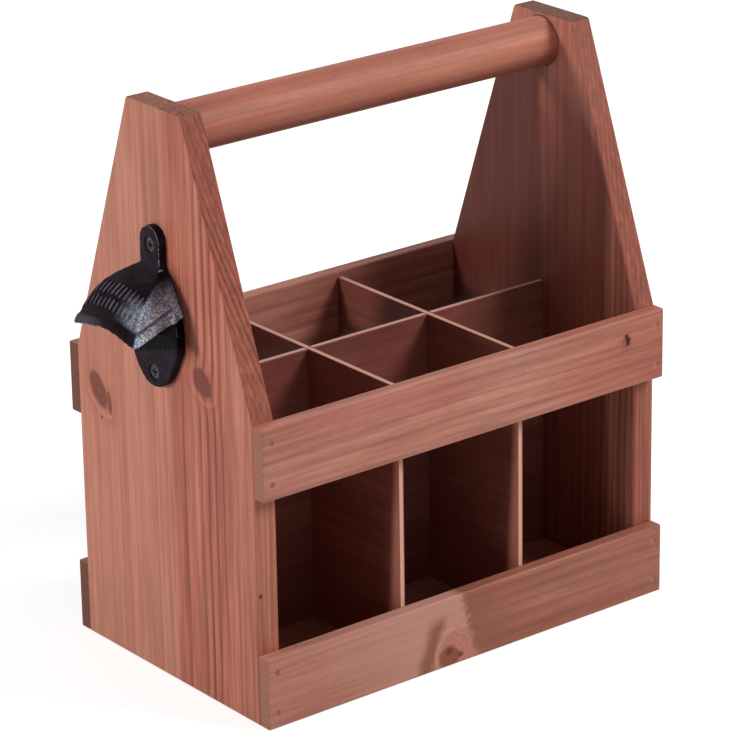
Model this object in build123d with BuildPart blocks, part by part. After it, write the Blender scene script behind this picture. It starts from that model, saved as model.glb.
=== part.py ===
from build123d import *
import os

# A six-compartment wooden bottle caddy with a round handle and a cast bottle opener.
# Frame: X runs along the length with the opener at the -X end, Y from front to back,
# +Z up. The origin is the centre of the caddy's underside. Millimetres.

# Overall sizes
length = 240
inner_depth = 136
height = 279
overrun = 1

# End panels
panel_thick = 12
panel_top_width = 41
panel_easing = 0.8
panel_corner_radius = 2

# Rails
rail_thick = 7
rail_height = 35
top_rail_top = 147
rail_easing = 0.8

# Handle
handle_diameter = 24
handle_below_top = 13.5
socket_depth = 7
socket_clearance = 0.2
handle_end_gap = 0.3
handle_end_easing = 1

# Floor board, let into a rebate along the foot of each end panel
floor_thick = 7
rebate_depth = 5
floor_clearance = 0.2

# Dividers
ply_thick = 3
divider_drop = 3
divider_end_clearance = 0.25
slot_clearance = 0.15
slot_end_clearance = 0.3

# Nails that hold the rails and the floor
nail_shank_diameter = 1.4
nail_head_diameter = 2.6
nail_head_thick = 0.8
nail_length = 22
nail_point_length = 2
nail_clearance = 0.03
nail_inset = 5
nail_spacing = 20
nail_sink = 0.2
floor_nail_spacing = 50

# Opener: flat back with two ears
opener_below_top = 94.5
opener_back_thick = 4.5
ear_width = 14.8
ear_top_above_screw = 9
screw_spacing = 61
opener_body_width = 35
opener_body_height = 54
lower_edge_drop = 7
opener_wall_gap = 0.05

# Opener: hood over the mouth
hood_width = 49
hood_reach = 34.5
hood_height = 28.5
hood_top_above_centre = 21
hood_wall = 3
hood_ridge_radius = 2
rim_lift_at_wall = 8
rim_arch = 4.5
tooth_width = 12
tooth_reach = 9
tooth_height = 4
tooth_easing = 0.8
tooth_below_centre = 8.5

# Hood levels from its top to its rim. Each row is: level down the hood's height, then
# half width at the wall and at the front corners as shares of half the hood's width,
# then reach at the corners and at the middle as shares of the hood's reach.
hood_cap_shares = (
    (0.00, 0.30, 0.30, 0.135, 0.150),
    (0.16, 0.40, 0.60, 0.330, 0.410),
)
hood_hollow_shares = (
    (0.30, 0.52, 0.74, 0.520, 0.610),
    (0.56, 0.68, 0.85, 0.730, 0.830),
    (0.80, 0.75, 0.94, 0.830, 0.940),
    (1.00, 0.76, 1.00, 0.890, 1.000),
)

# Opener screws
screw_diameter = 3.5
screw_head_diameter = 6.8
screw_head_height = 2
screw_length = 15
screw_point_length = 4
screw_clearance = 0.25
screw_head_sink = 0.9
screw_bite_clearance = 0.03
drive_slot_width = 0.9
drive_slot_depth = 1.1
drive_span = 3.8

# Places worked out from the sizes
handle_height = height - handle_below_top
opener_height = height - opener_below_top
half_length = length / 2
inner_half_length = half_length - panel_thick
half_inner_depth = inner_depth / 2
floor_top = floor_thick
divider_top = top_rail_top - divider_drop
divider_height = divider_top - floor_top
compartment_pitch = (2 * inner_half_length) / 3
divider_places = [-compartment_pitch / 2, compartment_pitch / 2]
rail_levels = {"bottom": rail_height / 2, "top": top_rail_top - rail_height / 2}
rail_names = ("front_bottom_rail", "front_top_rail", "back_bottom_rail", "back_top_rail")
socket_radius = handle_diameter / 2 + socket_clearance
top_aligned = (Align.CENTER, Align.CENTER, Align.MAX)
hood_top = opener_height + hood_top_above_centre
rim_z = hood_top - hood_height
nail_places = [-half_length + nail_inset, half_length - nail_inset]
floor_half_length = inner_half_length + rebate_depth - floor_clearance
floor_nail_x = inner_half_length + rebate_depth / 2
floor_nail_ys = [-floor_nail_spacing, 0, floor_nail_spacing]
screw_levels = {"upper": opener_height + screw_spacing / 2, "lower": opener_height - screw_spacing / 2}
opener_back_x = -half_length - opener_wall_gap
opener_face_x = opener_back_x - opener_back_thick
rim_corner_x = opener_back_x - hood_hollow_shares[-1][3] * hood_reach
opener_body_centre = screw_levels["lower"] - lower_edge_drop + opener_body_height / 2
ear_round_centre = screw_levels["upper"] + ear_top_above_screw - ear_width / 2
screw_head_x = opener_face_x + screw_head_sink
panel_outline = [
    (-half_inner_depth, 0),
    (-half_inner_depth, top_rail_top),
    (-panel_top_width / 2, height),
    (panel_top_width / 2, height),
    (half_inner_depth, top_rail_top),
    (half_inner_depth, 0),
]


def save(part, name):
    """Label a finished piece and write it to its own file."""
    part.label = name
    export_step(part, f"parts/{name}.step")
    print(f"{name}: {len(part.solids())} solid(s), {part.volume:.1f} mm3")


def nail_planes(rail):
    """Head faces of one rail's nails, each plane's normal pointing out of the wood."""
    side = -1 if rail.startswith("front") else 1
    middle = rail_levels[rail.split("_")[1]]
    y = side * (half_inner_depth + rail_thick - nail_sink)
    heights = [middle + step * nail_spacing / 2 for step in (-1, 1)]
    return [Plane((x, y, z), z_dir=(0, side, 0)) for x in nail_places for z in heights]


def floor_nail_planes():
    """Head faces of the nails driven up through the floor into the end panels."""
    xs = (-floor_nail_x, floor_nail_x)
    return [Plane((x, y, nail_sink), z_dir=(0, 0, -1)) for x in xs for y in floor_nail_ys]


def screw_plane(level):
    """Head face of one opener screw, its normal pointing away from the caddy."""
    return Plane((screw_head_x, 0, level), z_dir=(-1, 0, 0))


def add_nails(planes):
    """Flat-headed nails with a pointed tip."""
    body = nail_length - nail_point_length
    with Locations(*planes):
        Cylinder(nail_head_diameter / 2, nail_head_thick, align=top_aligned)
        Cylinder(nail_shank_diameter / 2, body, align=top_aligned)
    with Locations(*[plane.offset(-body) for plane in planes]):
        Cone(0, nail_shank_diameter / 2, nail_point_length, align=top_aligned)


def cut_nail_holes(planes):
    """Holes that nails leave in the wood they go through, open at the face."""
    with Locations(*[plane.offset(nail_sink + overrun) for plane in planes]):
        head_depth = overrun + nail_sink + nail_head_thick + nail_clearance
        Cylinder(nail_head_diameter / 2 + nail_clearance, head_depth, align=top_aligned, mode=Mode.SUBTRACT)
        shank_depth = overrun + nail_sink + nail_length + nail_clearance
        Cylinder(nail_shank_diameter / 2 + nail_clearance, shank_depth, align=top_aligned, mode=Mode.SUBTRACT)


def make_panel(name, side):
    """End panel with its tapered top, handle socket, floor rebate and nail holes."""
    inner_x = side * inner_half_length
    outer_x = side * half_length
    with BuildPart() as panel:
        with BuildSketch(Plane.YZ.offset(min(inner_x, outer_x))):
            with BuildLine():
                Polyline(*panel_outline, close=True)
            make_face()
        extrude(amount=panel_thick)
        top_corners = panel.edges().filter_by(Axis.X).group_by(Axis.Z)[-1]
        fillet(top_corners, panel_corner_radius)
        rim = panel.faces().filter_by(Axis.X).edges()
        fillet(rim, panel_easing)
        with Locations(Plane((inner_x, 0, handle_height), z_dir=(-side, 0, 0))):
            Cylinder(socket_radius, socket_depth, align=top_aligned, mode=Mode.SUBTRACT)
        with Locations((side * (inner_half_length + rebate_depth / 2 - overrun / 2), 0, 0)):
            cut_height = 2 * (floor_thick + floor_clearance)
            Box(rebate_depth + overrun, inner_depth + overrun, cut_height, mode=Mode.SUBTRACT)
        for rail in rail_names:
            near = [plane for plane in nail_planes(rail) if plane.origin.X * side > 0]
            cut_nail_holes(near)
        cut_nail_holes([plane for plane in floor_nail_planes() if plane.origin.X * side > 0])
        if side < 0:
            for level in screw_levels.values():
                with Locations(screw_plane(level)):
                    pilot_radius = screw_diameter / 2 + screw_bite_clearance
                    pilot_depth = screw_length + screw_bite_clearance
                    Cylinder(pilot_radius, pilot_depth, align=top_aligned, mode=Mode.SUBTRACT)
    save(panel.part, name)


def make_rail(name):
    """Side rail nailed across the edges of both end panels."""
    side = -1 if name.startswith("front") else 1
    level = rail_levels[name.split("_")[1]]
    with BuildPart() as rail:
        with Locations((0, side * (half_inner_depth + rail_thick / 2), level)):
            Box(length, rail_thick, rail_height)
        fillet(rail.edges(), rail_easing)
        cut_nail_holes(nail_planes(name))
    save(rail.part, name)


def make_handle():
    """Round bar that sits in the blind sockets of both panels."""
    bar_length = 2 * (inner_half_length + socket_depth - handle_end_gap)
    with BuildPart() as handle:
        with Locations(Plane((0, 0, handle_height), z_dir=(1, 0, 0))):
            Cylinder(handle_diameter / 2, bar_length)
        fillet(handle.edges().filter_by(GeomType.CIRCLE), handle_end_easing)
    save(handle.part, "handle_dowel")


def make_floor():
    """Floor board that carries the bottles, its underside level with the panels' feet."""
    with BuildPart() as floor:
        with Locations((0, 0, floor_thick / 2)):
            Box(2 * floor_half_length, inner_depth - 2 * floor_clearance, floor_thick)
        cut_nail_holes(floor_nail_planes())
    save(floor.part, "floor_board")


def make_long_divider():
    """Divider along the length, slotted from its top edge to halfway down."""
    slot_width = ply_thick + 2 * slot_clearance
    slot_depth = divider_height / 2 + slot_end_clearance / 2
    with BuildPart() as divider:
        with Locations((0, 0, floor_top + divider_height / 2)):
            Box(2 * (inner_half_length - divider_end_clearance), ply_thick, divider_height)
        with Locations(*[(x, 0, divider_top) for x in divider_places]):
            Box(slot_width, ply_thick + overrun, 2 * slot_depth, mode=Mode.SUBTRACT)
    save(divider.part, "long_divider")


def make_cross_divider(name, x):
    """Divider from front rail to back rail, slotted from its foot to halfway up."""
    slot_width = ply_thick + 2 * slot_clearance
    slot_depth = divider_height / 2 + slot_end_clearance / 2
    with BuildPart() as divider:
        with Locations((x, 0, floor_top + divider_height / 2)):
            Box(ply_thick, inner_depth - 2 * divider_end_clearance, divider_height)
        with Locations((x, 0, floor_top)):
            Box(ply_thick + overrun, slot_width, 2 * slot_depth, mode=Mode.SUBTRACT)
    save(divider.part, name)


def hood_section(row, inset):
    """Outline of the hood at one level, drawn in by the wall where it is the hollow."""
    level, wall_share, corner_share, corner_reach_share, middle_reach_share = row
    wall_half = wall_share * hood_width / 2 - inset
    corner_half = corner_share * hood_width / 2 - inset
    back = opener_face_x if inset else opener_back_x
    corner_x = opener_back_x - corner_reach_share * hood_reach + inset
    middle_x = opener_back_x - middle_reach_share * hood_reach + inset
    plane = Plane.XY.offset(hood_top - level * hood_height)
    with BuildSketch(plane) as section:
        with BuildLine():
            front = ThreePointArc((corner_x, -corner_half), (middle_x, 0), (corner_x, corner_half))
            Polyline(front @ 1, (back, wall_half), (back, -wall_half), front @ 0)
        make_face()
    return section.sketch


def make_opener():
    """Cast opener: a flat back with two screw ears, a hollow hood and a tooth under it."""
    with BuildPart() as back:
        with BuildSketch(Plane.YZ.offset(opener_back_x)):
            with Locations((0, opener_body_centre)):
                Ellipse(opener_body_width / 2, opener_body_height / 2)
            with Locations((0, ear_round_centre)):
                Circle(ear_width / 2)
            with Locations((0, (ear_round_centre + opener_body_centre) / 2)):
                Rectangle(ear_width, ear_round_centre - opener_body_centre)
        extrude(amount=-opener_back_thick)
        with Locations((opener_back_x - tooth_reach / 2, 0, opener_height - tooth_below_centre)):
            Box(tooth_reach, tooth_width, tooth_height)
        fillet(back.faces().sort_by(Axis.X)[0].edges(), tooth_easing)
    with BuildPart() as opener:
        for row in hood_cap_shares + hood_hollow_shares:
            add(hood_section(row, 0))
        loft()
        ridges = opener.edges().filter_by(lambda edge: edge.bounding_box().size.Z > hood_height / 2)
        fillet(ridges.group_by(Axis.X)[0], hood_ridge_radius)
        for row in hood_hollow_shares:
            add(hood_section(row, hood_wall))
        loft(mode=Mode.SUBTRACT)
        with BuildSketch(Plane.XZ.offset(-hood_width)):
            with BuildLine():
                Polyline(
                    (opener_back_x + overrun, rim_z + rim_lift_at_wall),
                    (opener_back_x, rim_z + rim_lift_at_wall),
                    (opener_back_x - hood_reach, rim_z),
                    (opener_back_x - hood_reach, rim_z - overrun),
                    (opener_back_x + overrun, rim_z - overrun),
                    close=True,
                )
            make_face()
        extrude(amount=2 * hood_width, mode=Mode.SUBTRACT)
        with BuildSketch(Plane.YZ.offset(rim_corner_x + 2 * hood_wall)):
            with BuildLine():
                half = hood_width / 2
                arch = ThreePointArc((-half, rim_z), (0, rim_z + rim_arch), (half, rim_z))
                Polyline(arch @ 1, (half, rim_z - overrun), (-half, rim_z - overrun), arch @ 0)
            make_face()
        extrude(amount=-hood_reach, mode=Mode.SUBTRACT)
        add(back.part)
        hole_radius = screw_diameter / 2 + screw_clearance
        head_radius = screw_head_diameter / 2 + screw_clearance
        for level in screw_levels.values():
            with Locations(screw_plane(level).offset(screw_head_sink + overrun)):
                hole_depth = opener_back_thick + 2 * overrun
                Cylinder(hole_radius, hole_depth, align=top_aligned, mode=Mode.SUBTRACT)
                head_depth = screw_head_sink + overrun
                Cylinder(head_radius, head_depth, align=top_aligned, mode=Mode.SUBTRACT)
            with Locations(screw_plane(level)):
                seat_height = screw_head_height + screw_clearance
                Cone(hole_radius, head_radius, seat_height, align=top_aligned, mode=Mode.SUBTRACT)
    save(opener.part, "bottle_opener")


def make_screw(name, level):
    """Countersunk wood screw with a cross slot."""
    plane = screw_plane(level)
    shank_length = screw_length - screw_point_length
    with BuildPart() as screw:
        with Locations(plane):
            Cone(screw_diameter / 2, screw_head_diameter / 2, screw_head_height, align=top_aligned)
            Cylinder(screw_diameter / 2, shank_length, align=top_aligned)
        with Locations(plane.offset(-shank_length)):
            Cone(0, screw_diameter / 2, screw_point_length, align=top_aligned)
        with Locations(plane):
            Box(drive_span, drive_slot_width, 2 * drive_slot_depth, mode=Mode.SUBTRACT)
            Box(drive_slot_width, drive_span, 2 * drive_slot_depth, mode=Mode.SUBTRACT)
    save(screw.part, name)


def make_nails(name, planes):
    """One group of identical nails."""
    with BuildPart() as group:
        add_nails(planes)
    save(group.part, name)


os.makedirs("parts", exist_ok=True)
make_panel("left_end_panel", -1)
make_panel("right_end_panel", 1)
for rail_name in rail_names:
    make_rail(rail_name)
    make_nails(f"{rail_name}_nails", nail_planes(rail_name))
make_handle()
make_floor()
make_nails("floor_nails", floor_nail_planes())
make_long_divider()
for divider_name, divider_x in zip(("left_cross_divider", "right_cross_divider"), divider_places):
    make_cross_divider(divider_name, divider_x)
make_opener()
for ear, ear_level in screw_levels.items():
    make_screw(f"{ear}_opener_screw", ear_level)
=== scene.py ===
import math
from collections import namedtuple
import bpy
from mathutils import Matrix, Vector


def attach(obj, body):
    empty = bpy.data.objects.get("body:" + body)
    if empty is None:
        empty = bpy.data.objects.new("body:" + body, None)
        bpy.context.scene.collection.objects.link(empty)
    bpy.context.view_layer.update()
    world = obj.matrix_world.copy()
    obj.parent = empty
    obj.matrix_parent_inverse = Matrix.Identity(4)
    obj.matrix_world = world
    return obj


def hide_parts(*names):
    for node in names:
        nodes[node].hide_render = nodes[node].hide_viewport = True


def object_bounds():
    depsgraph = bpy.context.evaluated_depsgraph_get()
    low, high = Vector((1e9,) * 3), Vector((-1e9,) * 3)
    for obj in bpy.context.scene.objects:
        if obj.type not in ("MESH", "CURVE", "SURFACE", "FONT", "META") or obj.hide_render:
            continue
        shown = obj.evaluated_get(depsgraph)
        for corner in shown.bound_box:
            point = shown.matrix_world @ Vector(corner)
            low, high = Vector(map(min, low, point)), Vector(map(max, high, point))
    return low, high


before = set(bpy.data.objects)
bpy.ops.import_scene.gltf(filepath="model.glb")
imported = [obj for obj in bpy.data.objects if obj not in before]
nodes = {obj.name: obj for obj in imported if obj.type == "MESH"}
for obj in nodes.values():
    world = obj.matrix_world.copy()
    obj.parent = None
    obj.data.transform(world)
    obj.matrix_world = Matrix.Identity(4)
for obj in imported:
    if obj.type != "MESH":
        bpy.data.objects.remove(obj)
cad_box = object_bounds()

from types import SimpleNamespace

import bmesh
import bpy
import numpy as np
from mathutils import Matrix, Vector, noise

MM = 0.001


def corners_of(name):
    """The corners of a piece's box, in millimetres."""
    return np.array(nodes[name].bound_box) / MM


# Camera at the photograph's viewing angle, in degrees and metres

CAMERA_AZIMUTH = -38.170
CAMERA_ELEVATION = 21.003
CAMERA_ROLL = -0.940
CAMERA_PLACE = (-1.0468, -1.3306, 0.7747)
CAMERA_REACH = 50
SENSOR_WIDTH_MM = 36
LENS_MM = 186.88


def make_camera():
    angles = (CAMERA_AZIMUTH, CAMERA_ELEVATION, CAMERA_ROLL)
    azimuth, elevation, roll = (math.radians(angle) for angle in angles)
    flat = math.cos(elevation)
    back = Vector((math.sin(azimuth) * flat, -math.cos(azimuth) * flat, math.sin(elevation)))
    level = Vector((math.cos(azimuth), math.sin(azimuth), 0))
    upright = back.cross(level)
    right = math.cos(roll) * level + math.sin(roll) * upright
    up = math.cos(roll) * upright - math.sin(roll) * level
    data = bpy.data.cameras.new("camera")
    data.sensor_width = SENSOR_WIDTH_MM
    data.lens = LENS_MM
    data.clip_end = CAMERA_REACH
    camera = bpy.data.objects.new("camera", data)
    turn = Matrix((right, up, back)).transposed().to_4x4()
    camera.matrix_world = Matrix.Translation(CAMERA_PLACE) @ turn
    bpy.context.collection.objects.link(camera)
    bpy.context.scene.camera = camera


make_camera()


# Node building

def srgb(red, green, blue):
    """A colour given as the picture shows it, as the linear values that a shader takes."""
    values = []
    for v in (red, green, blue):
        v = v / 255
        values.append(v / 12.92 if v <= 0.04045 else ((v + 0.055) / 1.055) ** 2.4)
    return (*values, 1.0)


WHITE = (1, 1, 1, 1)


class Val:
    """A number, colour or direction worked out by nodes, with plain arithmetic for numbers."""

    def __init__(self, graph, socket):
        self.graph = graph
        self.socket = socket

    def __add__(self, other):
        return self.graph.math("ADD", self, other)

    def __sub__(self, other):
        return self.graph.math("SUBTRACT", self, other)

    def __rsub__(self, other):
        return self.graph.math("SUBTRACT", other, self)

    def __mul__(self, other):
        return self.graph.math("MULTIPLY", self, other)

    def __truediv__(self, other):
        return self.graph.math("DIVIDE", self, other)

    def __abs__(self):
        return self.graph.math("ABSOLUTE", self)


class Graph:
    """The nodes of a material or of the world."""

    def __init__(self, owner):
        owner.use_nodes = True
        self.owner = owner
        self.tree = owner.node_tree
        self.tree.nodes.clear()

    def add(self, kind, **settings):
        node = self.tree.nodes.new(kind)
        for key, value in settings.items():
            setattr(node, key, value)
        return node

    def link(self, output, socket):
        self.tree.links.new(output, socket)

    def feed(self, socket, value):
        if isinstance(value, Val):
            self.link(value.socket, socket)
        else:
            socket.default_value = value

    def math(self, operation, *values):
        node = self.add("ShaderNodeMath", operation=operation)
        for socket, value in zip(node.inputs, values):
            self.feed(socket, value)
        return Val(self, node.outputs[0])

    def distance(self, *parts):
        """The length of a line, from its parts along the axes."""
        squares = [part * part for part in parts]
        return self.math("SQRT", sum(squares[1:], squares[0]))

    def coordinate(self, kind):
        """The x, y and z of a texture coordinate."""
        source = self.add("ShaderNodeTexCoord")
        split = self.add("ShaderNodeSeparateXYZ")
        self.link(source.outputs[kind], split.inputs[0])
        return [Val(self, part) for part in split.outputs]

    def place(self):
        """Where a point is, in millimetres."""
        return [part * (1 / MM) for part in self.coordinate("Object")]

    def vector(self, x, y, z):
        node = self.add("ShaderNodeCombineXYZ")
        for socket, value in zip(node.inputs, (x, y, z)):
            self.feed(socket, value)
        return Val(self, node.outputs[0])

    def noise(self, vector, detail=2.0, rough=0.5):
        node = self.add("ShaderNodeTexNoise")
        self.feed(node.inputs["Vector"], vector)
        node.inputs["Scale"].default_value = 1.0
        node.inputs["Detail"].default_value = detail
        node.inputs["Roughness"].default_value = rough
        return Val(self, node.outputs["Fac"])

    def even_noise(self, place, per_mm, detail=2.0, rough=0.5, shift=0.0):
        """Noise with the same waves per millimetre in every direction."""
        x, y, z = (part * per_mm for part in place)
        return self.noise(self.vector(x, y, z + shift), detail, rough)

    def attribute(self, name):
        node = self.add("ShaderNodeAttribute", attribute_name=name)
        return Val(self, node.outputs["Fac"])

    def random(self, value):
        node = self.add("ShaderNodeTexWhiteNoise", noise_dimensions="1D")
        self.feed(node.inputs["W"], value)
        return Val(self, node.outputs["Value"])

    def seen(self):
        """One for camera, glossy and transmission rays, and nothing for all others."""
        path = self.add("ShaderNodeLightPath")
        kinds = ("Camera", "Glossy", "Transmission")
        camera, glossy, through = (Val(self, path.outputs[f"Is {kind} Ray"]) for kind in kinds)
        return self.math("MINIMUM", camera + glossy + through, 1.0)

    def step(self, value, low, high, to_low=0.0, to_high=1.0):
        """A soft step from one result at low to another at high."""
        node = self.add("ShaderNodeMapRange", interpolation_type="SMOOTHSTEP")
        for socket, v in zip(node.inputs, (value, low, high, to_low, to_high)):
            self.feed(socket, v)
        return Val(self, node.outputs[0])

    def within(self, value, full, none):
        """One up to full, falling softly to nothing at none."""
        return self.step(value, full, none, 1.0, 0.0)

    def band(self, value, rise, risen, fall, fallen):
        """Nothing, then one from risen to fall, then nothing again."""
        return self.step(value, rise, risen) * self.within(value, fall, fallen)

    def mix(self, share, a, b, blend="MIX"):
        """Colour a with a share of colour b."""
        node = self.add("ShaderNodeMix", data_type="RGBA", blend_type=blend)
        # A mix node has its colours on inputs 6 and 7 and output 2
        self.feed(node.inputs[0], share)
        self.feed(node.inputs[6], a)
        self.feed(node.inputs[7], b)
        return Val(self, node.outputs[2])

    def tint(self, share, colour, stain, depth=1.0):
        """The colour with a share of a stain on it. depth is the stain's own strength."""
        return self.mix(share, colour, self.mix(depth, colour, stain, "MULTIPLY"))

    def shade(self, colour, brightness):
        """The colour times a number."""
        node = self.add("ShaderNodeVectorMath", operation="SCALE")
        self.feed(node.inputs[0], colour)
        self.feed(node.inputs["Scale"], brightness)
        return Val(self, node.outputs[0])

    def vary(self, colour, pattern, share):
        """The colour, darker or lighter by up to a share as the pattern says."""
        return self.shade(colour, pattern * (share * 2) + (1.0 - share))

    def bump(self, height, depth_mm, strength, normal=None):
        node = self.add("ShaderNodeBump")
        node.inputs["Strength"].default_value = strength
        node.inputs["Distance"].default_value = depth_mm * MM
        self.feed(node.inputs["Height"], height)
        if normal is not None:
            self.link(normal, node.inputs["Normal"])
        return Val(self, node.outputs[0])

    def output(self, shader, kind="ShaderNodeOutputMaterial"):
        self.link(shader.outputs[0], self.add(kind).inputs[0])
        return self.owner

    def finish(self, colour, roughness, normal, **constants):
        shader = self.add("ShaderNodeBsdfPrincipled")
        self.feed(shader.inputs["Base Color"], colour)
        self.feed(shader.inputs["Roughness"], roughness)
        self.feed(shader.inputs["Normal"], normal)
        for key, value in constants.items():
            shader.inputs[key.replace("_", " ")].default_value = value
        return self.output(shader)


def new_material(name):
    return Graph(bpy.data.materials.new(name))


def dress(name, material):
    for slot in nodes[name].material_slots:
        slot.material = material


# Wood. Places and sizes are in millimetres, and waves are per millimetre.

LATE_WOOD = srgb(124, 62, 48)
COOLER = srgb(250, 236, 242)
FLECK = srgb(214, 156, 134)
PORE = srgb(108, 56, 42)
KNOT_HALO = srgb(154, 84, 66)
KNOT_GLEAM = srgb(194, 126, 104)
KNOT_SHADOW = srgb(146, 78, 62)
KNOT_PALE = srgb(112, 57, 46)
KNOT_DEEP = srgb(98, 50, 39)
KNOT_RIM = srgb(98, 48, 38)
SAWN_LINE = srgb(96, 54, 40)
RUBBED_EDGE = srgb(160, 88, 72)
WORN_EDGE = srgb(204, 148, 128)
BROWN_SPOT = srgb(84, 42, 32)
RED_SPOT = srgb(122, 30, 25)
KNOT_CRACK_SHADE = srgb(62, 2, 0)

EDGE_RADIUS = 0.9
RELIEF_DEPTH = 0.13
WOOD_GLOSS = 0.22
FAR_FROM_KNOTS = 9.0

# A knot's tilt is across for each unit along, push is how far it bends the year rings, and
# darkness is the share of its dark core.
Knot = namedtuple("Knot", "along across half_long half_wide tilt push darkness")
Spot = namedtuple("Spot", "x y z size colour")

# wander: how far the grain strays. contrast: strength of the year rings, or figure, a
# function that gives it. hues, lines, bands, mottle, flecks: shares of cooler stain, thin
# lines, long streaks, short streaks and pale threads. run: waves of the fibres along the
# grain. sawn_lines, specks: year rings and specks on end grain. level: a function that
# paints what is this board's own.
PLAIN_BOARD = dict(
    knots=(), spots=(), wander=8.0, contrast=1.0, figure=None, level=None, hues=1.0, lines=0.2,
    bands=0.36, mottle=0.10, flecks=0.25, run=0.012, sawn_lines=0.35, specks=0.3,
    edge_tint=RUBBED_EDGE,
)


class Board(Graph):
    """A board's material. axes are the letters of the directions along the grain, across the
    face and through the board."""

    def __init__(self, name, axes, seed):
        super().__init__(bpy.data.materials.new(name))
        self.seed = seed
        self.at = dict(zip("xyz", self.place()))
        self.facing = dict(zip("xyz", self.coordinate("Normal")))
        self.along, self.across, self.through = (self.at[letter] for letter in axes)
        self.sawn = self.step(abs(self.facing[axes[0]]), 0.5, 0.85)

    def grain(self, along, across, detail=2.0, rough=0.5, start=0.0, shift=0.0):
        """Noise with so many waves per millimetre along the grain and across it."""
        x = self.along * along + start
        y = self.across * across
        z = self.through * across + shift
        return self.noise(self.vector(x, y, z), detail, rough)


def around_knots(g, knots, uneven):
    """The distance to the nearest knot in knot radii, the bend of the year rings, the share
    of the dark cores, and the share of each knot's low side along the grain."""
    nearest, bend, core, below = FAR_FROM_KNOTS, 0.0, 0.0, 0.0
    for knot in knots:
        from_middle = g.along - knot.along
        along = from_middle / knot.half_long
        across = (g.across - knot.across - from_middle * knot.tilt) / knot.half_wide
        away = g.distance(along, across) + uneven * 0.4
        nearest = g.math("MINIMUM", away, nearest)
        bend = g.math("EXPONENT", away * away * -0.45) * knot.push + bend
        core = g.step(away, 0.78, 1.08, knot.darkness, 0.0) + core
        below = g.step(along, 0.3, -0.4) * g.step(away, 2.4, 1.2) * knot.darkness + below
    return nearest, bend, core, below


def year_rings(g, look, pith, ring, bend):
    """The number of each point's year ring, and the share of its dark line of late wood."""
    slow = g.grain(0.006, 0.015, 1.0, start=g.seed) - 0.5
    quick = g.grain(0.016, 0.09, start=g.seed) - 0.5
    drift = g.across + slow * look.wander + quick * 2.2
    radius = g.distance(drift - pith[0], g.through - pith[1])
    phase = (radius + bend) / ring
    return g.math("FLOOR", phase), g.band(g.math("FRACT", phase), 0.35, 0.86, 0.88, 1.0)


def paint_rings(g, look, number, line, strength, pale, deep):
    tone = g.random(number + g.seed)
    fade = g.step(g.grain(0.008, 0.03, 1.0, shift=g.seed), 0.3, 0.62, 0.5, 1.0)
    colour = g.mix(g.random(number * 1.7 + g.seed + 3.1) * strength * 0.7 + 0.1, pale, deep)
    stain = g.grain(0.010, 0.03, 3.0, shift=g.seed + 7)
    colour = g.mix(g.step(stain, 0.38, 0.7, 0.0, 0.6), colour, deep)
    colour = g.mix(line * (tone * 0.75 + 0.25) * fade * strength, colour, LATE_WOOD)
    hue = g.grain(0.010, 0.07, 3.0, 0.6, start=g.seed, shift=3)
    return g.tint(g.step(hue, 0.36, 0.64), colour, COOLER, look.hues)


def paint_grain(g, look, colour, strength, fibre, short, pores):
    thin = g.grain(0.02, 0.58, 1.0, start=g.seed, shift=12)
    streak = g.grain(0.008, 0.26, 2.0, 0.6, shift=g.seed + 2)
    cloud = g.grain(0.07, 0.16, shift=g.seed + 6)
    thread = g.grain(0.006, 0.75, 1.0, shift=g.seed + 5)
    colour = g.vary(colour, fibre, 0.13)
    lined = g.shade(colour, g.step(thin, 0.3, 0.7, 1.0 - look.lines, 1.0 + look.lines))
    colour = g.mix(strength, colour, lined)
    colour = g.vary(colour, streak, look.bands)
    colour = g.vary(colour, short, look.mottle)
    colour = g.vary(colour, cloud, 0.08)
    colour = g.mix(g.step(thread, 0.68, 0.76, 0.0, look.flecks), colour, FLECK)
    return g.mix(g.step(pores, 0.64, 0.78, 0.0, 0.35), colour, PORE)


def paint_knots(g, colour, nearest, core, below, uneven):
    """A halo, a bright and a dark line on the low side, a core with rings and a dark rim."""
    halo = g.math("EXPONENT", nearest * nearest * -0.5)
    colour = g.mix(halo * 0.5, colour, KNOT_HALO)
    below = g.math("MINIMUM", below, 1.0)
    gleam = g.within(abs(nearest - 1.38), 0.05, 0.2) * below
    colour = g.mix(gleam * 0.4, colour, KNOT_GLEAM)
    shadow = g.within(abs(nearest - 1.75), 0.08, 0.3) * below
    colour = g.mix(shadow * 0.4, colour, KNOT_SHADOW)
    rings = g.math("FRACT", nearest * 2.3 + uneven * 1.6)
    core_colour = g.mix(g.step(rings, 0.2, 0.8), KNOT_PALE, KNOT_DEEP)
    colour = g.mix(g.math("MINIMUM", core, 1.0), colour, core_colour)
    rim = g.band(nearest, 0.8, 0.96, 1.0, 1.2) * g.math("MINIMUM", core + 0.3, 1.0)
    return g.mix(rim * 0.45, colour, KNOT_RIM)


def paint_spot(g, colour, spot, uneven):
    away = g.distance(g.at["x"] - spot.x, g.at["y"] - spot.y, g.at["z"] - spot.z)
    inner, outer = spot.size * 0.55, spot.size * 1.2
    share = g.step(away + uneven * spot.size, inner, outer, 0.97, 0.0)
    return g.mix(share, colour, spot.colour)


def paint_end_grain(g, look, colour, end, line, speck):
    dark, bright = 1.0 - look.specks, 1.0 + look.specks * 0.6
    lined = g.mix(line * look.sawn_lines, end, SAWN_LINE)
    return g.mix(g.sawn * 0.9, colour, g.shade(lined, g.step(speck, 0.32, 0.66, dark, bright)))


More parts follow.
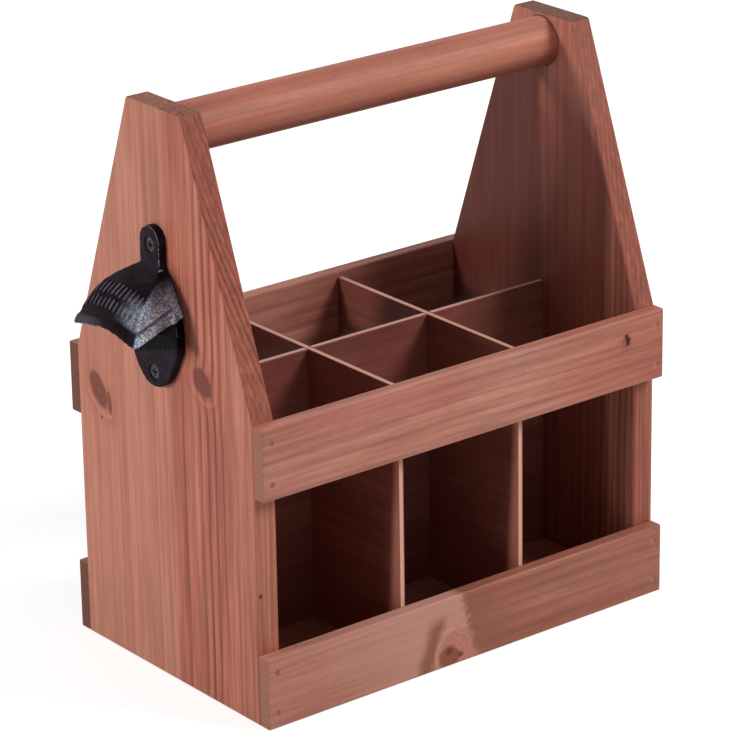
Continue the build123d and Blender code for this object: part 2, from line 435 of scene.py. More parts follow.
def round_edges(g):
    """The normal of softly rounded edges, and its cosine to the true one."""
    rounded = g.add("ShaderNodeBevel", samples=4)
    rounded.inputs["Radius"].default_value = EDGE_RADIUS * MM
    flat = g.add("ShaderNodeNewGeometry")
    cosine = g.add("ShaderNodeVectorMath", operation="DOT_PRODUCT")
    g.link(rounded.outputs[0], cosine.inputs[0])
    g.link(flat.outputs["Normal"], cosine.inputs[1])
    return rounded.outputs[0], Val(g, cosine.outputs["Value"])


def wood(name, axes, pith, ring, seed, pale, deep, end, **changes):
    """Sawn, stained pine. pith is the middle of the year rings, across and through the board,
    ring is their width, and changes are settings that differ from a plain board's."""
    look = SimpleNamespace(**{**PLAIN_BOARD, **changes})
    g = Board(name, axes, seed)
    uneven = g.grain(0.16, 0.16, 3.0, shift=seed) - 0.5
    fibre = g.grain(look.run, 0.8, 3.0, 0.6, shift=seed)
    short = g.grain(0.11, 0.55, 3.0, 0.65, shift=seed + 4)
    pores = g.grain(0.09, 1.2, shift=seed + 9)
    speck = g.grain(0.4, 0.8, 3.0, 0.7, shift=seed)
    strength = look.contrast if look.figure is None else look.figure(g)

    nearest, bend, core, below = around_knots(g, look.knots, uneven)
    number, line = year_rings(g, look, pith, ring, bend)
    colour = paint_rings(g, look, number, line, strength, pale, deep)
    colour = paint_grain(g, look, colour, strength, fibre, short, pores)
    if look.knots:
        colour = paint_knots(g, colour, nearest, core, below, uneven)
    for spot in look.spots:
        colour = paint_spot(g, colour, spot, uneven)
    colour = paint_end_grain(g, look, colour, end, line, speck)
    if look.level is not None:
        colour = look.level(g, colour)

    normal, cosine = round_edges(g)
    edge_marks = g.step(cosine + (short - 0.5) * 0.05, 0.985, 0.93)
    colour = g.mix(edge_marks * 0.45, colour, look.edge_tint)
    roughness = g.step(fibre, 0.3, 0.7, 0.46, 0.6) + g.sawn * 0.2
    height = line * 0.5 + fibre * 0.7 + pores * 0.4 + short * 0.5 + g.sawn * speck
    relief = g.bump(height, RELIEF_DEPTH, 0.6, normal)
    return g.finish(colour, roughness, relief, Specular_IOR_Level=WOOD_GLOSS)


# End panels

PANEL_PALE = srgb(181, 122, 101)
PANEL_DEEP = srgb(163, 100, 81)
PANEL_END = srgb(148, 100, 81)
RIGHT_PANEL_END = srgb(110, 74, 63)
FRONT_STAIN = srgb(232, 196, 190)
FRONT_TOP_STAIN = srgb(250, 218, 216)
TOP_STAIN = srgb(245, 247, 247)
# Painted shadow of the hood beside the opener
HOOD_SHADOW_PAINT = srgb(142, 131, 132)
LEFT_SLOPE_STAIN = srgb(222, 200, 188)
# Painted shade on the right panel's inner face
INSIDE_SHADE_PAINT = srgb(176, 142, 140)
INSIDE_BACK_SHADE_PAINT = srgb(186, 166, 164)
RIGHT_SLOPE_STAIN = srgb(228, 208, 202)
RIGHT_SLOPE_TOP_STAIN = srgb(212, 190, 184)


def calm_back(g):
    """Faint lines at the back of the left panel, strong ones at its front."""
    return g.step(g.at["y"], 2, -12, 0.42, 0.95)


def quiet_inside(g):
    """Strong lines at the front of the right panel, faint ones behind."""
    return g.step(g.at["y"], -60, -30, 0.8, 0.4)


def paint_hood_shadow(g, colour):
    """Painted shadow on the outer face beside the opener, narrower towards its top, that deepens
    the hood's cast shadow there."""
    y, z = g.at["y"], g.at["z"]
    narrowing = g.step(z, 180, 206, 0.0, -14.0)
    front_edge = g.step(y + narrowing, -32, -24)
    back_edge = g.step(y, 6, -4)
    foot = g.step(z, 160, 174)
    top = g.step(z, 210, 198)
    outer_face = g.step(g.facing["x"], -0.5, -0.8)
    share = front_edge * back_edge * foot * top * outer_face
    return g.tint(share * 0.9, colour, HOOD_SHADOW_PAINT)


def redder_front(g, colour):
    """The left panel took the stain redder on its front half and darker on its slope, and has the
    hood's shadow painted beside the opener."""
    y, z = g.at["y"], g.at["z"]
    wave = g.noise(g.vector(z * 0.02, y * 0.2, 6.0), 1.0) - 0.5
    across = y + wave * 8.0
    front = g.step(across, -2, -9) * g.step(across, -44, -56, 1.0, 0.5)
    stain = g.mix(g.step(z, 130, 200), FRONT_STAIN, FRONT_TOP_STAIN)
    colour = g.tint(front * 0.6, colour, stain)
    colour = g.tint(g.step(z, 200, 245), colour, TOP_STAIN)
    # Painted shadow of the hood beside the opener
    colour = paint_hood_shadow(g, colour)
    slope = g.step(g.facing["y"], -0.5, -0.8) * g.step(g.facing["z"], 0.08, 0.2)
    return g.tint(slope, colour, LEFT_SLOPE_STAIN)


def shade_inside(g, colour):
    """Painted shade on the right panel's inner face, below its top behind the front strip and on
    its back half; its slope took a little more stain too."""
    y, z = g.at["y"], g.at["z"]
    inside = g.step(g.facing["x"], -0.5, -0.8)
    front = g.step(z, 258, 224) * g.step(y + g.step(z, 200, 250, 0.0, -22.0), -52, -44)
    back = g.step(y, -6, 6) * g.step(z, 270, 252)
    # Painted shade where the inner face lies in shadow: below its top behind the front strip, and
    # on its back half
    colour = g.tint(inside * g.math("MAXIMUM", front * 0.9, back), colour, INSIDE_SHADE_PAINT)
    colour = g.tint(inside * back * 0.7, colour, INSIDE_BACK_SHADE_PAINT)
    stain = g.mix(g.step(z, 140, 150), RIGHT_SLOPE_STAIN, RIGHT_SLOPE_TOP_STAIN)
    return g.tint(g.step(g.facing["y"], -0.5, -0.8), colour, stain)


dress("left_end_panel", wood(
    "left_panel_wood", "zyx", pith=(60, 70), ring=2.5, seed=3.7,
    pale=PANEL_PALE, deep=PANEL_DEEP, end=PANEL_END,
    knots=(
        Knot(129.2, 51.8, half_long=8.6, half_wide=6.4, tilt=0.39, push=1.4, darkness=0.95),
        Knot(125.0, 43.2, half_long=5.6, half_wide=1.7, tilt=0.10, push=0.4, darkness=0.85),
        Knot(156.6, -31.2, half_long=7.0, half_wide=6.8, tilt=0.25, push=1.4, darkness=0.9),
    ),
    spots=(Spot(-120, 50.0, 115.6, 1.2, RED_SPOT), Spot(-117.7, -68, 63.8, 1.3, BROWN_SPOT)),
    wander=3.0, mottle=0.06, run=0.006, bands=0.22, hues=0.25, specks=0.6,
    figure=calm_back, level=redder_front,
))
dress("right_end_panel", wood(
    "right_panel_wood", "zyx", pith=(50, -60), ring=2.3, seed=11.2,
    pale=PANEL_PALE, deep=PANEL_DEEP, end=RIGHT_PANEL_END,
    knots=(Knot(92.0, 31.0, half_long=6.5, half_wide=5.4, tilt=0.2, push=3.5, darkness=0.85),),
    wander=4.0, mottle=0.05, run=0.006, hues=0.6, specks=0.45,
    figure=quiet_inside, level=shade_inside,
))


# Rails

FRONT_RAIL_END = srgb(144, 96, 80)
# The back rails' end grain: its own darker tone, and painted shade
BACK_RAIL_END_AND_SHADE = srgb(92, 56, 46)
RIGHT_END_STAIN = srgb(246, 236, 228)
PALER_HALF = srgb(192, 142, 126)
DARKER_HALF_STAIN = srgb(220, 203, 193)
BESIDE_BORDER = srgb(134, 82, 64)
SMUDGE = srgb(124, 68, 47)
BURL_DEEP = srgb(166, 100, 83)
BURL_PALE = srgb(182, 118, 100)
HEART = srgb(126, 64, 45)
HEART_SPOT = srgb(98, 34, 8)
BAND = srgb(190, 114, 97)
ARC = srgb(198, 136, 119)

BORDER_X = 2.5
BORDER_LEAN_SHARE = 0.27
SMUDGE_X = -28.0
SMUDGE_LEAN_SHARE = 0.33
BURL_X = -10.5
BURL_Z = 6.0
BURL_HALF_LONG = 11.5
BURL_HALF_TALL = 12.5
HEART_X = -14.0
HEART_Z = 4.5
HEART_RADIUS = 6.6
HEART_SPOTS = ((-13.7, 7.7, 2.2), (-7.2, 4.3, 2.0))
BAND_X = -13.2
BAND_Z = 12.3
BAND_FALL_SHARE = 0.683
BAND_COSINE_SHARE = 0.83


def warmer_right(g, colour):
    """The rail's right end took the stain a little redder."""
    return g.tint(g.step(g.at["x"], 20, 80), colour, RIGHT_END_STAIN)


def paint_smudge(g, colour, wave):
    """A dark, leaning smudge that starts at the lower edge."""
    x, z = g.at["x"], g.at["z"]
    from_middle = x - SMUDGE_X - z * SMUDGE_LEAN_SHARE + wave * 5.0
    share = g.band(from_middle, -9.0, -1.0, 1.0, 6.5) * g.within(z + wave * 8.0, 20, 30)
    return g.mix(share * 0.8, colour, SMUDGE)


def paint_burl(g, colour, left, wave, ripple):
    """A burl cut off by the lower edge: its turns, dark heart, red band and pale arc."""
    x, z = g.at["x"], g.at["z"]
    away = g.distance((x - BURL_X) / BURL_HALF_LONG, (z - BURL_Z) / BURL_HALF_TALL)
    away = away + wave * 0.5 + ripple * 0.2
    turn = g.math("FRACT", away * 3.6 + wave * 1.6 + x * 0.05)
    turns = g.mix(g.step(abs(turn - 0.5), 0.1, 0.4), BURL_DEEP, BURL_PALE)
    colour = g.mix(g.within(away, 0.9, 1.15) * left * 0.7, colour, turns)

    heart = g.distance((x - HEART_X) / HEART_RADIUS, (z - HEART_Z) / HEART_RADIUS)
    heart = heart + wave * 0.9 + ripple * 0.4
    colour = g.mix(g.step(heart, 0.65, 1.1, 0.85, 0.0), colour, HEART)
    for spot_x, spot_z, size in HEART_SPOTS:
        spot = g.distance(x - spot_x, z - spot_z) + ripple * 2.0
        share = g.step(spot, size * 0.4, size * 1.2, 0.8, 0.0)
        colour = g.mix(share, colour, HEART_SPOT)

    above = z - BAND_Z + (x - BAND_X) * BAND_FALL_SHARE
    off_band = abs(above * BAND_COSINE_SHARE + wave * 4.0)
    band = g.within(off_band, 0.8, 2.4) * g.band(x, -14, -11, 1, 5)
    colour = g.mix(band * 0.65, colour, BAND)
    arc = g.within(abs(away - 0.99), 0.03, 0.12) * g.step(x, -9, -13)
    return g.mix(arc * 0.75, colour, ARC)


def swirl(g, colour):
    """The lower front rail: a paler left half and a darker right half with a ragged border,
    and left of the border a smudge and a burl."""
    x, z = g.at["x"], g.at["z"]
    wave = g.noise(g.vector(x * 0.10, z * 0.10, 4.0), 3.0, 0.6) - 0.5
    ripple = g.noise(g.vector(x * 0.35, z * 0.35, 9.0), 3.0, 0.6) - 0.5
    border = x + z * BORDER_LEAN_SHARE - BORDER_X + wave * 7.0 + ripple * 8.0
    right = g.step(border, -2.8, 3.4)
    left = 1.0 - right
    colour = g.mix(g.step(border, -110, -22) * left * 0.7, colour, PALER_HALF)
    colour = g.tint(right * 0.8, colour, DARKER_HALF_STAIN)
    colour = g.mix(right * g.within(border, 8, 32) * 0.6, colour, BESIDE_BORDER)
    colour = paint_smudge(g, colour, wave)
    return paint_burl(g, colour, left, wave, ripple)


plain_rail = dict(
    pale=srgb(184, 127, 109), deep=srgb(160, 99, 82), wander=12.0, contrast=0.34, flecks=0.4,
    bands=0.5, hues=0.8, mottle=0.14, run=0.02, sawn_lines=0.2, specks=0.16,
)
front_rail = dict(plain_rail, end=FRONT_RAIL_END, edge_tint=WORN_EDGE)
back_rail = dict(plain_rail, end=BACK_RAIL_END_AND_SHADE)
rails = {
    "front_top_rail": dict(
        front_rail, pith=(196, 60), ring=1.9, seed=21.3, level=warmer_right,
        knots=(Knot(96.1, 136.0, half_long=2.7, half_wide=3.2, tilt=0.0, push=0.8, darkness=0.3),),
        spots=(
            # Painted shade in the crack of the knot
            Spot(97.1, -75, 136.6, 1.5, KNOT_CRACK_SHADE),
            Spot(97.0, -75, 134.6, 1.1, KNOT_CRACK_SHADE),
            Spot(96.2, -75, 138.3, 1.1, KNOT_CRACK_SHADE),
        ),
    ),
    "front_bottom_rail": dict(
        front_rail, pith=(-40, 40), ring=2.6, seed=34.6, bands=0.35, hues=0.4, level=swirl,
    ),
    "back_top_rail": dict(
        back_rail, pith=(170, -40), ring=2.4, seed=47.9,
        knots=(Knot(-52.0, 126.0, half_long=5.0, half_wide=4.2, tilt=0.1, push=3.0, darkness=0.7),),
    ),
    "back_bottom_rail": dict(
        back_rail, pith=(50, -60), ring=2.8, seed=58.1,
        knots=(Knot(63.0, 14.0, half_long=4.6, half_wide=4.0, tilt=0.0, push=3.0, darkness=0.7),),
    ),
}
for rail, look in rails.items():
    dress(rail, wood(f"{rail}_wood", "xzy", **look))


# Handle and floor board

# Painted shade on the handle's underside
UNDERSIDE_SHADE_PAINT = srgb(214, 200, 200)


def shade_below(g, colour):
    """Painted shade on the handle's underside."""
    return g.tint(g.step(g.facing["z"], 0.3, -0.7), colour, UNDERSIDE_SHADE_PAINT)


dress("handle_dowel", wood(
    "handle_wood", "xzy", pith=(300, 60), ring=2.0, seed=71.5,
    pale=srgb(180, 117, 94), deep=srgb(160, 97, 76), end=PANEL_END,
    wander=10.0, contrast=0.3, flecks=0.1, level=shade_below,
))
dress("floor_board", wood(
    "floor_wood", "xyz", pith=(20, -50), ring=2.6, seed=83.2,
    pale=srgb(150, 96, 80), deep=srgb(130, 76, 62), end=PANEL_END,
    knots=(Knot(40.0, 22.0, half_long=6.0, half_wide=4.5, tilt=0.1, push=3.0, darkness=0.8),),
))


# Dividers of thin board

# The faces' dark tone is partly their stain and partly painted shade inside the compartments
PLY_SHADED_PALE = srgb(124, 71, 59)
PLY_SHADED_DEEP = srgb(102, 53, 43)
PLY_END = srgb(176, 120, 100)
PLY_LIT_MARGIN_DEEP = srgb(206, 130, 108)
PLY_LIT_MARGIN_PALE = srgb(232, 158, 136)
PLY_OUTER_LAYER = srgb(112, 66, 54)
PLY_MIDDLE_LAYER = srgb(218, 162, 142)
DIVIDER_AXES = {
    "long_divider": "xzy",
    "left_cross_divider": "yzx",
    "right_cross_divider": "yzx",
}


def ply_edges(letter, middle):
    """Sanded edges with a pale middle layer, and painted light on the faces towards the open front.
    """
    def paint(g, colour):
        y, z = g.at["y"], g.at["z"]
        patchy = g.noise(g.vector(z * 0.3, y * 0.3, 5.0))
        # Painted light where it falls in on the faces past the open front
        lit_margin = g.step(y + z * 0.06, -56, -62) * 0.85
        colour = g.mix(lit_margin, colour, g.mix(patchy, PLY_LIT_MARGIN_DEEP, PLY_LIT_MARGIN_PALE))
        layer = g.within(abs(g.at[letter] - middle), 0.85, 1.3)
        edge = g.mix(layer, PLY_OUTER_LAYER, PLY_MIDDLE_LAYER)
        return g.mix(g.step(abs(g.facing[letter]), 0.3, 0.6, 0.9, 0.0), colour, edge)
    return paint


for divider, axes in DIVIDER_AXES.items():
    through = axes[2]
    middle = corners_of(divider)[:, "xyz".index(through)].mean()
    dress(divider, wood(
        f"{divider}_ply", axes, pith=(100, 50), ring=3.4, seed=90.0 + len(divider),
        pale=PLY_SHADED_PALE, deep=PLY_SHADED_DEEP, end=PLY_END, contrast=0.25, flecks=0.0,
        sawn_lines=0.0, specks=0.15, level=ply_edges(through, middle),
    ))


# Metal

FINE_GRAIN = dict(per_mm=1.5, detail=3.0, rough=0.65)
FINE_RELIEF = 0.1
CASTING_RELIEF = 0.6
CASTING_GLOSS = 0.02
SCREW_BLACK = srgb(22, 18, 22)
SCREW_WORN = srgb(56, 50, 56)
HEAD_BROWN = srgb(150, 95, 79)
HEAD_PALE = srgb(168, 110, 93)
PAINT_DEEP = srgb(31, 22, 29)
PAINT_PALE = srgb(43, 34, 41)
# Painted highlight on the hood's front lip
LIP_HIGHLIGHT_PAINT = srgb(72, 62, 72)
# Painted glints on the flanks
GLINT_PAINT = srgb(220, 228, 250)
BARE_IRON = srgb(156, 150, 160)


def screw_steel():
    g = new_material("black_screw_steel")
    place = g.place()
    grain = g.even_noise(place, **FINE_GRAIN)
    patch = g.even_noise(place, 0.4)
    colour = g.vary(g.mix(g.step(patch, 0.4, 0.65), SCREW_BLACK, SCREW_WORN), grain, 0.25)
    roughness = g.step(grain, 0.3, 0.7, 0.28, 0.5)
    return g.finish(colour, roughness, g.bump(grain, FINE_RELIEF, 0.5), Metallic=0.5)


def stained_heads():
    """Nail heads under the stain, browner at the end with the opener."""
    g = new_material("stained_nail_heads")
    place = g.place()
    grain = g.even_noise(place, **FINE_GRAIN)
    colour = g.vary(g.mix(g.step(place[0], -60, 60), HEAD_BROWN, HEAD_PALE), grain, 0.35)
    return g.finish(colour, 0.6, g.bump(grain, FINE_RELIEF, 0.5), Specular_IOR_Level=WOOD_GLOSS)


def cast_iron():
    """Black paint over a rough casting, rubbed through to the iron on edges and ribs, with painted
    glints on the flanks, painted highlights on the lip and at the foot of the upper ear, and
    painted shadow on the plate below the hood. The shares of these places are attributes of the
    opener's mesh."""
    g = new_material("painted_cast_iron")
    place = g.place()
    pits = g.even_noise(place, 0.9, 4.0, 0.7)
    grit = g.even_noise(place, 1.35, 2.0, 0.8)
    patch = g.even_noise(place, 0.12)
    blotch = g.even_noise(place, 0.22, shift=3)
    colour = g.mix(g.step(patch, 0.4, 0.65), PAINT_DEEP, PAINT_PALE)
    # Darker on the hood, with painted shadow on the plate below the hood
    colour = g.shade(colour, 1.0 - g.attribute("hood") * 0.45 - g.attribute("painted_hood_shadow") * 0.8)
    # Painted highlight on the hood's front lip
    colour = g.mix(g.attribute("painted_lip_highlight") * 0.8, colour, LIP_HIGHLIGHT_PAINT)
    # Painted glints of light on the flanks and on the turned front
    bright = g.step(grit, 0.42, 0.58, 0.24, 1.0) * g.step(blotch, 0.38, 0.6, 0.6, 1.0)
    colour = g.mix(bright * g.attribute("painted_glints"), colour, GLINT_PAINT)
    # Rubbed paint on edges, and a painted highlight at the foot of the upper ear
    worn = g.step(g.attribute("edge_marks") + (pits - 0.5) * 1.5, 0.35, 0.9) * 0.8
    ribs = g.attribute("ribs") * (patch * 0.5 + 0.25)
    colour = g.mix(g.math("MAXIMUM", worn, ribs), colour, BARE_IRON)
    roughness = g.step(patch + grit * 0.5, 0.5, 0.9, 0.26, 0.42)
    relief = g.bump(pits + grit * 0.5, CASTING_RELIEF, 0.6)
    return g.finish(colour, roughness, relief, Specular_IOR_Level=CASTING_GLOSS)


iron = cast_iron()
screw_black = screw_steel()
nail_metal = stained_heads()
for name in nodes:
    if name.endswith("_screw"):
        dress(name, screw_black)
    if name.endswith("_nails"):
        dress(name, nail_metal)


# Work on a mesh's points, in millimetres

def read_points(mesh):
    points = np.empty(len(mesh.vertices) * 3)
    normals = np.empty(len(mesh.vertices) * 3)
    mesh.vertices.foreach_get("co", points)
    mesh.vertices.foreach_get("normal", normals)
    return points.reshape(-1, 3) / MM, normals.reshape(-1, 3)


def write_points(mesh, points):
    mesh.vertices.foreach_set("co", (points * MM).ravel())
    mesh.update()


def write_share(mesh, name, values):
    layer = mesh.attributes.new(name, "FLOAT", "POINT")
    layer.data.foreach_set("value", np.clip(values, 0, 1).astype(np.float32))


class Neighbours:
    """Averages over each point's neighbours on a mesh."""

    def __init__(self, mesh):
        edges = np.empty(len(mesh.edges) * 2, dtype=np.int32)
        mesh.edges.foreach_get("vertices", edges)
        self.a, self.b = edges.reshape(-1, 2).T
        self.total = len(mesh.vertices)
        self.count = np.bincount(edges, minlength=self.total).clip(1)

    def mean(self, values):
        to_a = np.bincount(self.a, values[self.b], self.total)
        to_b = np.bincount(self.b, values[self.a], self.total)
        return (to_a + to_b) / self.count

    def blur(self, values, rounds):
        for _ in range(rounds):
            values = (values + self.mean(values)) / 2
        return values


def bell(x, width):
    return np.exp(-(x / width) ** 2)


def ease(x, low, high):
    """A soft step from nothing at low to one at high."""
    t = np.clip((x - low) / (high - low), 0, 1)
    return t * t * (3 - 2 * t)


def soft_window(x, low, high, soft):
    """One between low and high, with soft ends inside them, and nothing beyond."""
    return ease(x, low, low + soft) * ease(high - x, 0, soft)


# Cast opener with softened edges, a beaded rim, raised ribs and the unevenness of a casting

OFF_PANEL = 0.05
WALL_X = corners_of("left_end_panel")[:, 0].min() - OFF_PANEL
BOX_END_X = cad_box[0][0] / MM
MERGE_M = 1e-6
VOXEL = 0.42
SMOOTHING = 0.5
SMOOTHING_ROUNDS = 7

PLATE_FROM_WALL = 5
PLATE_FADED_FROM_WALL = 9
PLATE_WIDER = 0.12
PLATE_WIDER_FROM_Z = (158, 168)
PLATE_WIDER_TO_Z = (181, 192)

HOOD_FROM_WALL = 5
HOOD_MIDDLE_FROM_WALL = 12
HOOD_REACH = 34.5
HOOD_HALF = 24.5
RIM_Z = 177.0
RIM_LIFT = 8.0
RIM_ARCH = 4.5
FRONT_LIFT = 1.4
FRONT_LIFT_Y = -6
FRONT_LIFT_HALF = 10

BEAD_LOW = -0.6
BEAD_HIGH = 4.4
BEAD_EASE = 1.8
BEAD_PROUD = 0.75
GROOVE_ABOVE_RIM = 5.5
GROOVE_HALF = 0.8
GROOVE_DEEP = 0.45

RIB_PITCH = 3.1
RIB_TALL = 3.8
RIB_ENDS = 1.2
RIB_EASE = 1.0
RIB_HALF_WIDE = 0.85
RIB_PROUD = 0.95
RIBS_TO_EACH_SIDE = 6
RIBS_END_Y = 18.6
RIBS_END_EASE = 1.5
# Each row's lower end above the rim, and its shift along the hood in rib pitches
RIB_ROWS = ((7.8, 0.5), (12.9, 0.0))

ROUGH_WAVES = 0.45
ROUGH_DEEP = 0.14
GRIT_WAVES = 1.1
GRIT_SHIFT = 50
GRIT_DEEP = 0.08
SMOOTH_TO_WALL = 1.5

RUBBED_FROM_Z = (172, 178)
# Painted highlight at the foot of the upper ear
EAR_HIGHLIGHT_PLACE = (-124.5, -8.3, 205)
EAR_HIGHLIGHT_HALF = (1.6, 0.6, 1.5)
EAR_HIGHLIGHT_LEAN = 0.35
# Painted shadow of the hood on the plate
SHADED_FROM_Z = (163.8, 165.4)
SHADED_TO_Z = (186, 192)
SHADED_LEAN = 0.336
FLANK_TO_Z = (190, 204)


def fine_copy(source):
    """A finely meshed copy of a piece, with its edges softened."""
    mesh = source.data.copy()
    work = bmesh.new()
    work.from_mesh(mesh)
    bmesh.ops.remove_doubles(work, verts=work.verts, dist=MERGE_M)
    work.to_mesh(mesh)
    work.free()
    piece = bpy.data.objects.new("opener_casting", mesh)
    bpy.context.collection.objects.link(piece)
    remesh = piece.modifiers.new("remesh", "REMESH")
    remesh.mode = "VOXEL"
    remesh.voxel_size = VOXEL * MM
    smooth = piece.modifiers.new("smooth", "SMOOTH")
    smooth.factor = SMOOTHING
    smooth.iterations = SMOOTHING_ROUNDS
    depsgraph = bpy.context.evaluated_depsgraph_get()
    mesh = bpy.data.meshes.new_from_object(piece.evaluated_get(depsgraph))
    piece.modifiers.clear()
    piece.data = mesh
    return piece


def on_plate(x):
    """The share of the back plate and its ears, which lie along the wall."""
    return ease(x, WALL_X - PLATE_FADED_FROM_WALL, WALL_X - PLATE_FROM_WALL)


def find_hood(points, normals):
    """Where each point lies on the hood: its reach from the wall as a share, the heights of
    the rim, how far the point is above it, and the shares of the hood and of its front."""
    x, y, z = points.T
    reach = (WALL_X - x) / HOOD_REACH
    side_rim = RIM_Z + RIM_LIFT * (1 - np.clip(reach, 0, 1))
    front_rim = RIM_Z + RIM_ARCH * (1 - (y / HOOD_HALF) ** 2)
    outward = np.stack([x - (WALL_X - HOOD_MIDDLE_FROM_WALL), y], axis=1)
    outward /= np.linalg.norm(outward, axis=1)[:, None]
    outer = np.clip((outward * normals[:, :2]).sum(1) * 2.5, 0, 1)
    frontness = np.clip((-normals[:, 0] - np.abs(normals[:, 1])) * 2 + 0.5, 0, 1)
    return SimpleNamespace(
        reach=reach, side_rim=side_rim, front_rim=front_rim, frontness=frontness,
        above=z - (side_rim * (1 - frontness) + front_rim * frontness),
        on_hood=outer * (x < WALL_X - HOOD_FROM_WALL),
    )


def raise_ribs(y, hood):
    """Two rows of upright ribs on the hood's front, each a little unlike the next."""
    chance = np.random.default_rng(7)
    ribs = np.zeros(len(y))
    for low_end, shift in RIB_ROWS:
        for number in range(-RIBS_TO_EACH_SIDE, RIBS_TO_EACH_SIDE + 1):
            centre = (number + shift) * RIB_PITCH
            tall = RIB_TALL + chance.uniform(-0.3, 0.3)
            foot = low_end + chance.uniform(-0.2, 0.2)
            proud = chance.uniform(0.8, 1.0)
            height = soft_window(hood.above, foot, foot + tall + RIB_ENDS, RIB_EASE)
            ribs += proud * bell(y - centre, RIB_HALF_WIDE) * height
    along_row = soft_window(y, -RIBS_END_Y, RIBS_END_Y, RIBS_END_EASE)
    return ribs * along_row * hood.on_hood * hood.frontness


def shape_casting(points, normals, hood, ribs, groove, near):
    """The points moved out for bead, ribs and roughness, with a wider back plate and a raised
    front rim, and kept between the wall and the end of the part's box."""
    x, y, z = points.T
    bead = hood.on_hood * soft_window(hood.above, BEAD_LOW, BEAD_HIGH, BEAD_EASE)
    edging = near.blur(bead * BEAD_PROUD - groove * GROOVE_DEEP, 4)
    lift = edging + near.blur(ribs, 1) * RIB_PROUD
    rough = np.array([noise.fractal(Vector(p * ROUGH_WAVES), 0.9, 2.1, 3) for p in points])
    grit = np.array([noise.noise(Vector(p * GRIT_WAVES + GRIT_SHIFT)) for p in points])
    free = np.clip((WALL_X - x) / SMOOTH_TO_WALL, 0, 1)
    outward = lift + rough * ROUGH_DEEP * free + grit * GRIT_DEEP * free
    moved = points + normals * outward[:, None]
    moved[:, 0] = np.minimum(moved[:, 0], WALL_X)
    wider = ease(z, *PLATE_WIDER_FROM_Z) * (1 - ease(z, *PLATE_WIDER_TO_Z))
    moved[:, 1] *= 1 + PLATE_WIDER * on_plate(x) * wider
    low_front = ease(hood.reach, 0.6, 0.8) * (1 - ease(z - hood.front_rim, 2, 8))
    moved[:, 2] += FRONT_LIFT * low_front * bell(y - FRONT_LIFT_Y, FRONT_LIFT_HALF)
    deep = WALL_X - moved[:, 0]
    moved[:, 0] = WALL_X - deep * min(1, (WALL_X - BOX_END_X) / deep.max())
    return moved


def convex_edges(points, normals, near):
    """The share of the outer edges from the hood's rim up, where the paint is rubbed off."""
    hollow = np.stack([near.mean(values) - values for values in points.T], axis=1)
    convex = near.blur(-(hollow * normals).sum(1) / VOXEL, 3)
    return ease(convex, 0.035, 0.11) * ease(points[:, 2], *RUBBED_FROM_Z)


def find_ear_highlight(points):
    """The share of the painted highlight at the foot of the upper ear."""
    x, y, z = (points - EAR_HIGHLIGHT_PLACE).T
    long, wide, tall = EAR_HIGHLIGHT_HALF
    return bell(x, long) * bell(y + z * EAR_HIGHLIGHT_LEAN, wide) * bell(z, tall)


def write_casting_shares(mesh, points, normals, hood, ribs, groove, near):
    """The shares that the casting's material reads."""
    x, y, z = points.T
    # Rubbed paint on edges, and a painted highlight at the foot of the upper ear
    edge_marks = convex_edges(points, normals, near) * 0.75 + find_ear_highlight(points) * 1.2
    write_share(mesh, "edge_marks", edge_marks)
    write_share(mesh, "ribs", ease(ribs, 0.55, 1.0))
    write_share(mesh, "hood", near.blur(hood.on_hood, 3))

    # Painted shadow of the hood on the plate below it
    shaded = ease(z + y * SHADED_LEAN, *SHADED_FROM_Z) * (1 - ease(z, *SHADED_TO_Z))
    painted_hood_shadow = on_plate(x) * (1 - hood.on_hood) * shaded
    write_share(mesh, "painted_hood_shadow", near.blur(painted_hood_shadow, 2))
    front = hood.on_hood * hood.frontness
    # Painted highlight along the hood's lower front lip
    painted_lip_highlight = front * soft_window(hood.above, -0.8, 4.2, 1.2) * ease(y, -4, 10)
    write_share(mesh, "painted_lip_highlight", near.blur(painted_lip_highlight, 2))

    # Painted glints on the flanks and where the front turns into them
    flank = ease(np.abs(normals[:, 1]), 0.30, 0.75) * (x < WALL_X - 0.6)
    flank *= ease(z - hood.side_rim, -1, 1) * (1 - ease(z, *FLANK_TO_Z))
    turned = front * ease(-y, 4, 22) * soft_window(hood.above, 5.0, 17.0, 3.0)
    painted_glints = flank * (1 - 0.85 * groove) + turned * 0.5
    write_share(mesh, "painted_glints", near.blur(painted_glints, 2))


def make_opener():
    piece = fine_copy(nodes["bottle_opener"])
    mesh = piece.data
    points, normals = read_points(mesh)
    near = Neighbours(mesh)
    hood = find_hood(points, normals)
    ribs = raise_ribs(points[:, 1], hood)
    groove = hood.on_hood * bell(hood.above - GROOVE_ABOVE_RIM, GROOVE_HALF)
    write_points(mesh, shape_casting(points, normals, hood, ribs, groove, near))
    write_casting_shares(mesh, points, normals, hood, ribs, groove, near)
    for polygon in mesh.polygons:
        polygon.use_smooth = True
    mesh.materials.clear()
    mesh.materials.append(iron)
    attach(piece, "root")
    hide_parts("bottle_opener")


make_opener()


# Floor and light, in metres and watts

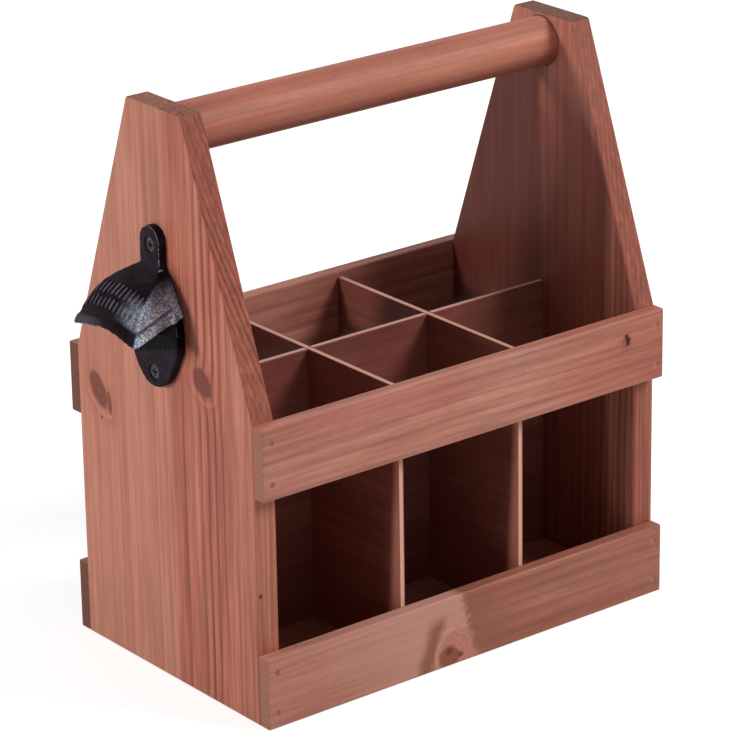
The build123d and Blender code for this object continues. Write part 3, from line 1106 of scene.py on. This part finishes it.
FLOOR_HALF = 8.0
FLOOR_DROP = 0.3 * MM
FLOOR_GREY = (0.62, 0.62, 0.62, 1)
GLOW_NEAR = 0.66
GLOW_FAR = 0.78
WORLD_AS_LIGHT = 0.26
LAMP_TARGET = (0, 0, 0.14)
LAMPS = {
    "key": dict(place=(-1.4, 0.24, 0.56), size=0.13, power=10.3),
    "key_front": dict(place=(-1.4, -0.19, 0.567), size=0.2, power=2.8),
    "fill": dict(place=(0.95, -1.15, 1.35), size=0.65, power=29.0),
}


def make_floor():
    """A floor that takes shadows and glows towards white, but only where it is looked at,
    straight or in a reflection."""
    mesh = bpy.data.meshes.new("studio_floor")
    signs = ((-1, -1), (1, -1), (1, 1), (-1, 1))
    corners = [(FLOOR_HALF * x, FLOOR_HALF * y, -FLOOR_DROP) for x, y in signs]
    mesh.from_pydata(corners, [], [(0, 1, 2, 3)])
    floor = bpy.data.objects.new("studio_floor", mesh)
    bpy.context.collection.objects.link(floor)
    g = new_material("studio_floor")
    diffuse = g.add("ShaderNodeBsdfDiffuse")
    diffuse.inputs[0].default_value = FLOOR_GREY
    glow = g.add("ShaderNodeEmission")
    glow.inputs[0].default_value = WHITE
    x, y, _ = g.place()
    share = g.step(g.distance(x, y), 250, 1400, GLOW_NEAR, GLOW_FAR)
    g.feed(glow.inputs["Strength"], g.seen() * share)
    both = g.add("ShaderNodeAddShader")
    g.link(diffuse.outputs[0], both.inputs[0])
    g.link(glow.outputs[0], both.inputs[1])
    mesh.materials.append(g.output(both))


def make_world():
    """White where it is looked at, and dimmer as a light."""
    world = bpy.data.worlds.new("studio")
    bpy.context.scene.world = world
    g = Graph(world)
    background = g.add("ShaderNodeBackground")
    background.inputs[0].default_value = WHITE
    strength = g.seen() * (1.0 - WORLD_AS_LIGHT) + WORLD_AS_LIGHT
    g.feed(background.inputs["Strength"], strength)
    g.output(background, "ShaderNodeOutputWorld")


def make_lamp(name, place, size, power):
    data = bpy.data.lights.new(name, "AREA")
    data.shape = "SQUARE"
    data.size = size
    data.energy = power
    light = bpy.data.objects.new(name, data)
    light.location = place
    aim = Vector(LAMP_TARGET) - Vector(place)
    light.rotation_euler = aim.to_track_quat("-Z", "Y").to_euler()
    bpy.context.collection.objects.link(light)


make_floor()
make_world()
for name, lamp in LAMPS.items():
    make_lamp(name, **lamp)

bpy.context.scene.view_settings.view_transform = "Standard"

bpy.context.view_layer.update()
